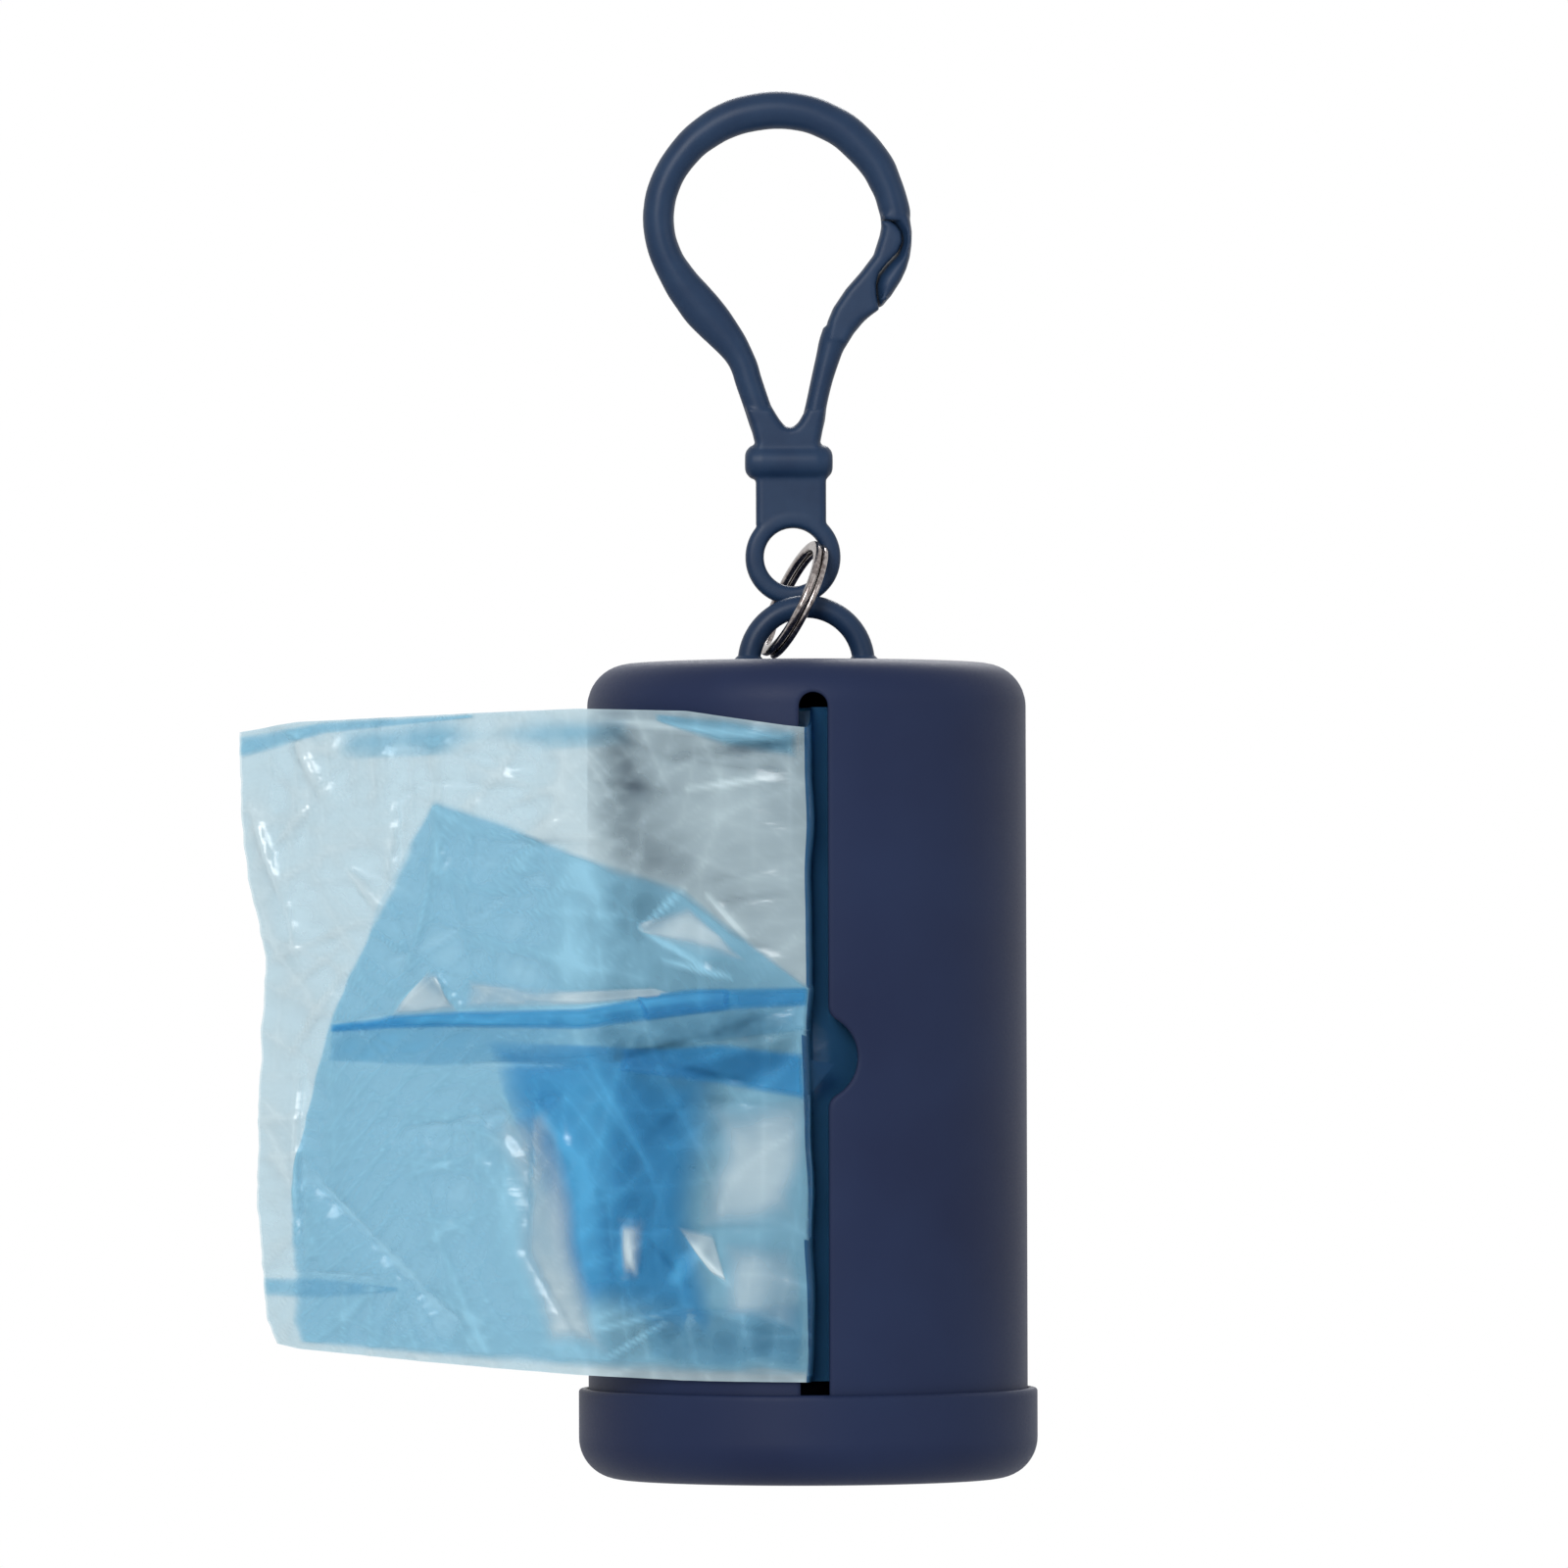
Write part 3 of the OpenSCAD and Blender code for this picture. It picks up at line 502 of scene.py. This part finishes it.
# each layer: bottom edge, top edge, how far out it lies in mm, how milky it is, its material
# (0 clear, 1 folded, 2 rolled hem) and how many mm its edge takes to come in
layers = [
    (outer_bottom, outer_top, -0.14, 0.38, 0, 0), (outer_bottom, outer_top, 0.20, 0.42, 0, 0),
    (gusset_bottom, gusset_top, 0.42, 0.36, 1, 1.3), (band_bottom, band_top, 0.52, 0.34, 1, 0.5),
    ([(0.4, 45.8), (8, 45.4), (17, 44.4), (24, 43.6), (37.4, 43.8), (45.3, 43.7), (52.2, 43.4)],
     [(0.4, 47.7), (8, 47.6), (17, 46.8), (24, 45.7), (37.4, 45.5), (45.3, 45.1), (52.2, 44.2)],
     0.6, 0.42, 2, 0.7),
    ([(8, 45.4), (12, 45.0), (17, 44.4)], [(8, 47.6), (12, 47.6), (18, 46.9)], 0.66, 0.45, 2, 0.6),
    ([(9, 13), (18, 13), (25, 14)], [(8, 42), (20, 42.5), (35, 43)], 0.58, 0.40, 2, 7.0),
    ([(0.6, 36.8), (9, 38.3), (20, 39.6)],
     [(0.6, 41.4), (9, 42.4), (20, 41.8)], 0.62, 0.4, 2, 0.9),
    ([(1, 11), (9, 11.2), (17, 12)], [(1, 18), (9, 17.4), (18, 17)], 0.58, 0.3, 1, 1.6),
    ([(1.5, 69.4), (8, 70.4), (16, 73.2)],
     [(1.5, 72.2), (8, 73.4), (16, 73.9)], 0.45, 0.34, 1, 1.0),
    ([(18, 70.4), (36, 69.8), (52, 69.4)], [(18, 74.3), (36, 74.2), (52, 73.8)], 0.4, 0.2, 1, 4.0),
    ([(36, 73.8), (53, 72.5), (62.6, 70.2)],
     [(36, 74.1), (53, 73.7), (62.8, 72.4)], 0.45, 0.36, 1, 0.6),
    ([(43.4, 18.3), (52, 17.5), (57.7, 17.7)],
     [(43.4, 18.7), (52, 19.6), (57.8, 19.6)], 0.5, 0.36, 1, 0.6),
    # the layers from here on are small pieces of clear film laid on as painted sheen: the pale
    # streaks, triangles and patches where the film mirrors the lamps
    ([(37.4, 45.4), (45.4, 44.9)], [(40.2, 49.2), (41.0, 49.4)], 0.66, 0.40, 0, 1.0),
    ([(13, 46.9), (24, 45.9), (37, 45.6)],
     [(16, 47.7), (26, 47.5), (36.4, 48.6)], 0.66, 0.42, 0, 1.0),
    ([(20.5, 12.0), (28.4, 12.0)], [(27.6, 37), (36.2, 37)], 0.66, 0.34, 0, 3.4),
    ([(0.2, 23.8), (11.2, 24.4)], [(0.2, 37.4), (10.6, 37.4)], 0.7, 0.30, 0, 3.2),
    ([(8.2, 19.4), (9.6, 20.2)], [(9.6, 24.2), (13.6, 24.9)], 0.74, 0.40, 0, 0.9),
    ([(17.6, 19.6), (19.8, 19.4)], [(16.8, 25.6), (20.4, 25.8)], 0.74, 0.34, 0, 1.4),
    ([(1.0, 14.2), (9.6, 15.6)], [(1.4, 24.0), (8.6, 23.6)], 0.7, 0.24, 0, 2.6),
    ([(6, 49.9), (11, 50.6), (17.6, 53.0)],
     [(9, 52.6), (12.4, 55.8), (17.8, 53.8)], 0.6, 0.34, 0, 1.8)]

# up to the slot's lip all film is gathered and takes the fourth material, with its painted shade,
# and is evenly milky, each to its own distance from the slot in mm
gathered_and_shaded, gathered_and_shaded_to, gathered_milk, evenly_to = 3, 0.35, 0.3, 0.4
points, faces, kinds, milk_and_sheen, folded = [], [], [], [], []
for number, (bottom, top, lift, base, kind, feather) in enumerate(layers):
    layer, layer_faces, layer_milk_and_sheen, fade, along = film_layer(
        bottom, top, lift, 41 + number, base, feather)
    kinds += [gathered_and_shaded if along[face[0]] < gathered_and_shaded_to else kind for face in layer_faces]
    faces += [tuple(i + len(points) for i in face) for face in layer_faces]
    points += list(layer)
    milk_and_sheen += list(np.where(along < evenly_to, gathered_milk, layer_milk_and_sheen))
    folded += list(fade)
# the small flap of film in the thumb hole as x, z and how far it stands out of it, in mm
flap_y = -21.2 * mm
flap = [(-1.2, 40.0, 0), (-0.2, 37.6, 0), (1.9, 40.3, 0.2), (-0.4, 40.7, 0.5), (0.4, 39.5, 0.4)]
flap_faces = [(0, 1, 4), (0, 4, 3), (3, 4, 2), (4, 1, 2)]
faces += [tuple(len(points) + i for i in face) for face in flap_faces]
points += [(x * mm, flap_y - out * mm, z * mm) for x, z, out in flap]
# the flap takes the film with painted shade too
kinds += [gathered_and_shaded] * len(flap_faces)
milk_and_sheen += [0.15] * len(flap)
folded += [1] * len(flap)
bag = new_piece("first_bag", points, faces)
dress(bag, clear_film)
for more in (blue_film, hem_film, dark_film):
    bag.data.materials.append(more)
bag.data.polygons.foreach_set("material_index", kinds)
# the per-point cloudiness, painted sheen included, that mixes clear and lit film
bag.data.attributes.new("milk_and_painted_sheen", "FLOAT", "POINT").data.foreach_set("value", milk_and_sheen)
bag.data.attributes.new("layers", "FLOAT", "POINT").data.foreach_set("value", folded)
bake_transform(bag)
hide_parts("bag_web", "lead_bag")

# ---------------------------------------------------------------------------------------------
# The split ring: two turns of flattened spring steel wire, nickel plated, that joins the clip's
# eye to the loop on the case.


def end_caps(rows, columns):
    """The two faces that close a tube of grid_faces at its first and its last row."""
    return [tuple(range(columns))[::-1], tuple(range((rows - 1) * columns, rows * columns))]


def squarish(value):
    """A cosine or sine moved away from 0, so that a round section turns out nearly square."""
    return math.copysign(abs(value) ** 0.6, value)


# it leans by 25 degrees in the eye and is turned by 12
ring_place = (Matrix.Translation(Vector((-1.2, 1.2, 85.45)) * mm)
              @ Matrix.Rotation(math.radians(25), 4, "Y")
              @ Matrix.Rotation(math.radians(12), 4, "Z")
              @ Matrix.Rotation(math.radians(90), 4, "Y"))
wire_radius, wire_deep, wire_wide = 5.6 * mm, 1.06 * mm, 0.62 * mm
# the wire steps over from one turn to the other by apart, in mm, within the angle jog
apart, jog = 0.70, math.radians(50)
count, section = 260, 16
points = []
for i in range(count):
    a = jog + (4 * math.pi - jog) * i / (count - 1)
    t = min(max((a - 2 * math.pi) / jog, 0), 1)
    side = (t * t * (3 - 2 * t) - 0.5) * apart * mm
    to_end = min(i, count - 1 - i)
    thin = math.sqrt(min(1, (to_end + 0.15) / 3))
    for k in range(section):
        b = 2 * math.pi * k / section
        u = wire_deep / 2 * squarish(math.cos(b)) * thin
        v = wire_wide / 2 * squarish(math.sin(b)) * thin
        points.append(ring_place @ Vector(((wire_radius + u) * math.cos(a),
                                           (wire_radius + u) * math.sin(a), side + v)))
faces = grid_faces(count, section, wrap_columns=True) + end_caps(count, section)
ring = new_piece("split_ring_wire", points, faces)

# Spring steel, drawn and nickel plated: bright, slightly warm, with fine drawing marks along
# the wire and a thin brownish film in the shade.
steel, tree, output, place = new_material("nickel_plated_spring_steel")
marks = add(tree, "ShaderNodeTexNoise", {"Vector": place, "Scale": 1 / (0.5 * mm), "Detail": 4.0})
tone = ramp(tree, marks.outputs["Fac"], linear("#6f6664"), linear("#a59e9b"), 0.35, 0.65)
gloss = add(tree, "ShaderNodeMapRange",
            {"Value": marks.outputs["Fac"], "To Min": 0.12, "To Max": 0.3})
metal = add(tree, "ShaderNodeBsdfPrincipled",
            {"Base Color": tone, "Metallic": 1.0, "Roughness": gloss.outputs["Result"]})
tree.links.new(metal.outputs[0], output.inputs["Surface"])
dress(ring, steel)
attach(ring, "ring")
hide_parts("split_ring")

# ---------------------------------------------------------------------------------------------
# The snap clip: one acetal moulding. A long arm runs up, over the loop and down to a nose on
# the right, and below it are the base, the rounded collar, the flat strap and the eye.
clip_front, clip_back = (end[1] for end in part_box("clip_gate"))
clip_y = clip_front / 2 + clip_back / 2


def bar(stations, deep, section=20, between=6):
    """Points and faces of a bar along stations (x, z, width) in mm, seen from the front. deep
    lists its depths front to back at the start and at the end."""
    line = np.array(stations, float)
    knots = np.vstack([2 * line[0] - line[1], line, 2 * line[-1] - line[-2]])
    dense = []
    for i in range(1, len(knots) - 2):
        for t in np.arange(between) / between:
            p0, p1, p2, p3 = knots[i - 1 : i + 3]
            dense.append(0.5 * (2 * p1 + (p2 - p0) * t + (2 * p0 - 5 * p1 + 4 * p2 - p3) * t * t
                                + (3 * p1 - p0 - 3 * p2 + p3) * t ** 3))
    dense.append(line[-1])
    dense = np.array(dense)
    run = np.gradient(dense[:, :2], axis=0)
    run /= np.hypot(run[:, 0], run[:, 1])[:, None]
    depth = np.interp(np.linspace(0, 1, len(dense)), np.linspace(0, 1, len(deep)), deep)
    points = []
    for (x, z, width), (rx, rz), d in zip(dense, run, depth):
        d = min(d, 1.6 * width + 0.3)
        for k in range(section):
            a = 2 * math.pi * k / section
            u, v = math.cos(a) * width / 2, math.sin(a) * d / 2
            points.append(((x - rz * u) * mm, clip_y + v * mm, (z + rx * u) * mm))
    faces = grid_faces(len(dense), section, wrap_columns=True) + end_caps(len(dense), section)
    return points, faces


def soft_rectangle(x0, x1, deep, soft, step):
    """A rectangle's outline from x0 to x1 and deep across, its corners rounded by soft with a
    point every step degrees."""
    outline = []
    for x, y, start in ((x1 - soft, deep / 2 - soft, 0), (x0 + soft, deep / 2 - soft, 90),
                        (x0 + soft, soft - deep / 2, 180), (x1 - soft, soft - deep / 2, 270)):
        for turn in range(0, 91, step):
            a = math.radians(start + turn)
            outline.append((x + soft * math.cos(a), y + soft * math.sin(a)))
    return outline


def rounded_block(x0, x1, z0, z1, deep, soft):
    """Points and faces of a block in mm with its upright edges rounded by soft."""
    outline = soft_rectangle(x0, x1, deep, soft, 15)
    points = [(x * mm, clip_y + y * mm, z * mm) for z in (z0, z1) for x, y in outline]
    faces = grid_faces(2, len(outline), wrap_columns=True) + end_caps(2, len(outline))
    return points, faces


def rod(x0, x1, z, d_y, d_z, soft):
    """Points and faces of a rod along X in mm with rounded ends."""
    sides = 24
    along = [(x0, 0.4), (x0 + 0.07 * soft, 0.6), (x0 + 0.35 * soft, 0.86), (x0 + soft, 1.0),
             (x1 - soft, 1.0), (x1 - 0.35 * soft, 0.86), (x1 - 0.07 * soft, 0.6), (x1, 0.4)]
    points = [(x * mm, clip_y + d_y / 2 * k * math.cos(a) * mm,
               (z + d_z / 2 * k * math.sin(a)) * mm)
              for x, k in along for a in np.linspace(0, 2 * math.pi, sides, endpoint=False)]
    faces = grid_faces(len(along), sides, wrap_columns=True) + end_caps(len(along), sides)
    return points, faces


def slab(outline, deep, lean=0.0):
    """Points and faces of a plate with that outline seen from the front, anticlockwise and in
    mm, whose edges are rounded off towards the front and the back. Its wall along the seam
    leans out towards the back by lean, so that the seam can't be seen through."""
    line = np.array(outline)
    run = np.roll(line, -1, axis=0) - np.roll(line, 1, axis=0)
    run /= np.hypot(run[:, 0], run[:, 1])[:, None]
    inward = np.stack([-run[:, 1], run[:, 0]], axis=1)
    ends = seam[1:] - seam[:-1]
    gap = line[:, None] - seam[None, :-1]
    t = np.clip((gap * ends).sum(axis=2) / (ends * ends).sum(axis=1), 0, 1)
    gap = np.linalg.norm(gap - t[..., None] * ends, axis=2).min(axis=1)
    at_seam = np.clip((0.6 - gap) / 0.3, 0, 1)[:, None] * (lean != 0)
    # the edge's rounding, front to back: place in half depths and how far in it lies, in mm
    edge = [(-1, 0.6), (-0.84, 0.26), (-0.5, 0.05), (0, 0), (0.5, 0.05), (0.84, 0.26), (1, 0.6)]
    grow = 0.12
    points = []
    for y, inset in edge:
        points += [(x * mm, clip_y + y * deep / 2 * mm, z * mm)
                   for x, z in line + inward * (inset - at_seam * (grow + lean * y))]
    faces = grid_faces(len(edge), len(line), wrap_columns=True) + end_caps(len(edge), len(line))
    return points, faces


def flat_ring(x, z, inner, outer, deep, soft):
    """Points and faces of a flat ring seen from the front, in mm, with soft edges."""
    sides = 72
    section = soft_rectangle(inner, outer, deep, soft, 30)
    points = [((x + r * math.cos(a)) * mm, clip_y + y * mm, (z + r * math.sin(a)) * mm)
              for a in np.linspace(0, 2 * math.pi, sides, endpoint=False) for r, y in section]
    return points, grid_faces(sides, len(section), wrap_rows=True, wrap_columns=True)


def moulded(name, solids, passes, grain=0.15 * mm):
    """Fuses solids into one skin of that grain and softens where they meet in so many passes,
    as a mould's fillets do."""
    points, faces = [], []
    for p, f in solids:
        faces += [tuple(i + len(points) for i in face) for face in f]
        points += list(p)
    piece = new_piece(name, points, faces)
    mesh = bmesh.new()
    mesh.from_mesh(piece.data)
    bmesh.ops.recalc_face_normals(mesh, faces=mesh.faces)
    mesh.to_mesh(piece.data)
    mesh.free()
    fuse = piece.modifiers.new("fuse", "REMESH")
    fuse.mode, fuse.voxel_size, fuse.use_smooth_shade = "VOXEL", grain, True
    soften = piece.modifiers.new("soften", "SMOOTH")
    soften.factor, soften.iterations = 0.5, passes
    bpy.context.view_layer.update()
    graph = bpy.context.evaluated_depsgraph_get()
    shape = bpy.data.meshes.new_from_object(piece.evaluated_get(graph))
    piece.modifiers.clear()
    piece.data = shape
    shape.name = name
    return piece


# the long arm as x, z and its width in mm, from the base up, over and down to the nose
long_arm = [
    (-3.3, 100.9, 2.9), (-3.6, 101.8, 2.75), (-4.04, 102.63, 2.68), (-4.76, 104.73, 2.62),
    (-5.53, 107.02, 2.65), (-5.86, 108.16, 2.68), (-6.39, 109.31, 2.77), (-7.11, 110.45, 3.12),
    (-8.03, 111.6, 3.49), (-8.99, 112.74, 3.82), (-10.0, 113.89, 3.97), (-10.91, 115.03, 3.82),
    (-11.82, 116.18, 3.6), (-12.55, 117.32, 3.35), (-13.22, 118.47, 3.15), (-13.7, 119.61, 3.11),
    (-14.04, 120.76, 3.05), (-14.23, 122.09, 3.06), (-14.23, 123.43, 3.06),
    (-13.89, 125.34, 3.06), (-12.88, 127.63, 3.05), (-11.1, 129.92, 3.2), (-9.47, 131.25, 3.39),
    (-7.79, 132.25, 3.54), (-5.64, 133.01, 3.68), (-2.64, 133.4, 3.73), (0.29, 133.04, 3.68),
    (2.5, 132.16, 3.63), (4.09, 131.21, 3.6), (5.58, 129.82, 3.54), (6.54, 128.72, 3.44),
    (7.31, 127.63, 3.35), (7.84, 126.48, 3.2), (8.32, 125.34, 3.06), (8.66, 124.19, 3.06),
    (8.88, 123.24, 3.01), (8.86, 122.5, 2.85)
]
# the S-shaped seam between the nose and the gate, from the inside down to the outside
seam = np.array([
    (7.55, 122.49), (8.5, 122.33), (9.1, 121.93), (9.37, 121.3), (9.44, 120.44), (9.02, 119.38),
    (8.0, 118.35), (7.15, 117.3), (6.85, 116.27), (6.93, 115.04), (7.2, 114.0)
])
# outlines seen from the front, as x and z in mm
nose = [
    (7.46, 123.31), (7.69, 122.62), (8.5, 122.36), (9.04, 122), (9.52, 121.28), (9.62, 120.42),
    (9.17, 119.23), (8.14, 118.18), (7.34, 117.17), (7.04, 116.22), (7.14, 115.04),
    (7.35, 114.17), (7.6, 114.32), (8.43, 115.13), (9.44, 116.69), (9.96, 117.8), (10.31, 118.97),
    (10.48, 120.18), (10.52, 121.45), (10.34, 122.67), (10, 123.33)
]
clip_base = [
    (-5.91, 104.44), (-5.36, 102.63), (-4.87, 100.65), (-4.81, 99.57), (1.44, 99.57),
    (1.49, 100.72), (1.86, 102.63), (2.12, 104.44), (0.29, 104.44), (-0.19, 103.63),
    (-0.63, 102.87), (-1.06, 102.47), (-1.54, 102.38), (-1.98, 102.53), (-2.42, 103.06),
    (-2.79, 103.63), (-3.27, 104.44)
]
seam_lean = 0.45
arm = bar(long_arm, [2.6, 2.6, 3.3, 3.4, 3.4, 3.4, 3.3])
collar = rod(-5.86, 2.7, 98.95, 3.7, 3.7, 1.5)
strap = rounded_block(-4.8, 2.05, 92.8, 98.4, 2.1, 0.5)
eye = flat_ring(-1.2, 89.65, 2.85, 4.65, 2.2, 0.6)
clip = moulded("clip_frame", [arm, slab(nose, 3.2, seam_lean), slab(clip_base, 2.7),
                              collar, strap, eye], passes=6)
dress(clip, satin_blue)
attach(clip, "clip")
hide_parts("clip_hook")

# ---------------------------------------------------------------------------------------------
# The gate: the short arm on the right, moulded in one with the base. It bends at its root when
# something is pressed in past its nose, and springs back under the long arm's nose.
# its arm as x, z and width, and the outline of its wider end, both in mm
gate_arm = [
    (0.1, 100.6, 2.3), (0.45, 101.67, 2.29), (0.87, 103.2, 2.24), (1.16, 104.73, 2.08),
    (1.68, 107.02, 2.14), (2.31, 109.31, 2.39), (2.65, 110.45, 2.63), (3.17, 111.6, 2.92)
]
gate_tongue = [
    (7.5, 121.9), (7.36, 121.14), (6.73, 119.17), (5.48, 117.52), (4.02, 115.86), (2.77, 114),
    (2.21, 112.65), (1.93, 110.45), (4.04, 110.26), (4.81, 111.5), (5.68, 112.55), (7, 113.92),
    (6.75, 115.03), (6.66, 116.31), (6.96, 117.44), (7.81, 118.5), (8.85, 119.56), (9.25, 120.47),
    (9.16, 121.23), (8.75, 121.84), (8.18, 122.23), (7.56, 122.26)
]
gate = moulded("clip_gate_arm", [bar(gate_arm, [2.6, 2.7, 3.1]),
                                 slab(gate_tongue, 3.1, -seam_lean)], passes=4)
dress(gate, satin_blue)
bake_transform(gate)
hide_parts("clip_gate")

# ---------------------------------------------------------------------------------------------
# The studio: the dispenser hangs by its clip over a pale floor, between two soft lamps, before
# a white background.
reach, floor_z = 1.6, -0.12
floor = new_piece("floor", [(-reach, -reach, floor_z), (reach, -reach, floor_z),
                            (reach, reach, floor_z), (-reach, reach, floor_z)], [(0, 1, 2, 3)])

# Matt white paper with a faint tooth, lifted towards white for the camera so that its far part
# runs out into the background.
paper, tree, output, place = new_material("matt_white_paper")
tooth = add(tree, "ShaderNodeTexNoise", {"Vector": place, "Scale": 1 / (3 * mm)})
shade = add(tree, "ShaderNodeMapRange",
            {"Value": tooth.outputs["Fac"], "To Min": 0.80, "To Max": 0.84})
sheet = add(tree, "ShaderNodeBsdfDiffuse", {"Color": shade.outputs["Result"]})
glow = add(tree, "ShaderNodeEmission", {"Color": (1, 1, 1, 1), "Strength": 1.0})
ray = add(tree, "ShaderNodeLightPath")
lifted = add(tree, "ShaderNodeMath", {0: ray.outputs["Is Camera Ray"], 1: 0.55},
             operation="MULTIPLY")
pale = add(tree, "ShaderNodeMixShader",
           {0: lifted.outputs[0], 1: sheet.outputs[0], 2: glow.outputs[0]})
tree.links.new(pale.outputs[0], output.inputs["Surface"])
dress(floor, paper)

# white for what sees or mirrors it, and dimmer as light on the object
world = bpy.data.worlds.new("white_room")
bpy.context.scene.world = world
world.use_nodes = True
tree = world.node_tree
tree.nodes.clear()
ray = add(tree, "ShaderNodeLightPath")
seen = add(tree, "ShaderNodeMath",
           {0: ray.outputs["Is Camera Ray"], 1: ray.outputs["Is Glossy Ray"]}, operation="ADD")
seen = add(tree, "ShaderNodeMath", {0: seen.outputs[0], 1: ray.outputs["Is Transmission Ray"]},
           operation="ADD", use_clamp=True)
level = add(tree, "ShaderNodeMapRange", {"Value": seen.outputs[0], "To Min": 0.40, "To Max": 1.0})
white = add(tree, "ShaderNodeBackground",
            {"Color": (1, 1, 1, 1), "Strength": level.outputs["Result"]})
tree.links.new(white.outputs[0], add(tree, "ShaderNodeOutputWorld").inputs["Surface"])

# soft square lamps: place and side in metres, power in watts, all aimed at the tube
aim = Vector((0, 0, 0.06))
for name, where, size, power in (("lamp_left", (-0.45, -1.4, 0.65), 0.6, 16.5),
                                 ("lamp_right", (0.95, -0.75, 0.35), 0.45, 1.3),
                                 ("lamp_back", (0.1, 1.1, 0.9), 0.6, 8.0)):
    lamp = bpy.data.lights.new(name, "AREA")
    lamp.energy, lamp.size = power, size
    holder = bpy.data.objects.new(name, lamp)
    bpy.context.scene.collection.objects.link(holder)
    holder.location = where
    holder.rotation_euler = (aim - Vector(where)).to_track_quat("-Z", "Y").to_euler()

# the camera stands a little left of the slot, 1.06 m away, level with the tube's middle
camera = bpy.data.objects.new("camera", bpy.data.cameras.new("camera"))
bpy.context.scene.collection.objects.link(camera)
camera.data.sensor_width, camera.data.lens = 36, 250
away, left, roll_by = 1.06, math.radians(1.8), math.radians(-0.15)
camera.location = (-away * math.sin(left), -away * math.cos(left), 0.04515)
look = (Vector((-0.0022, 0, 0.06747)) - camera.location).to_track_quat("-Z", "Y")
camera.rotation_euler = (look.to_matrix() @ Matrix.Rotation(roll_by, 3, "Z")).to_euler()
bpy.context.scene.camera = camera
bpy.context.scene.view_settings.view_transform = "Standard"
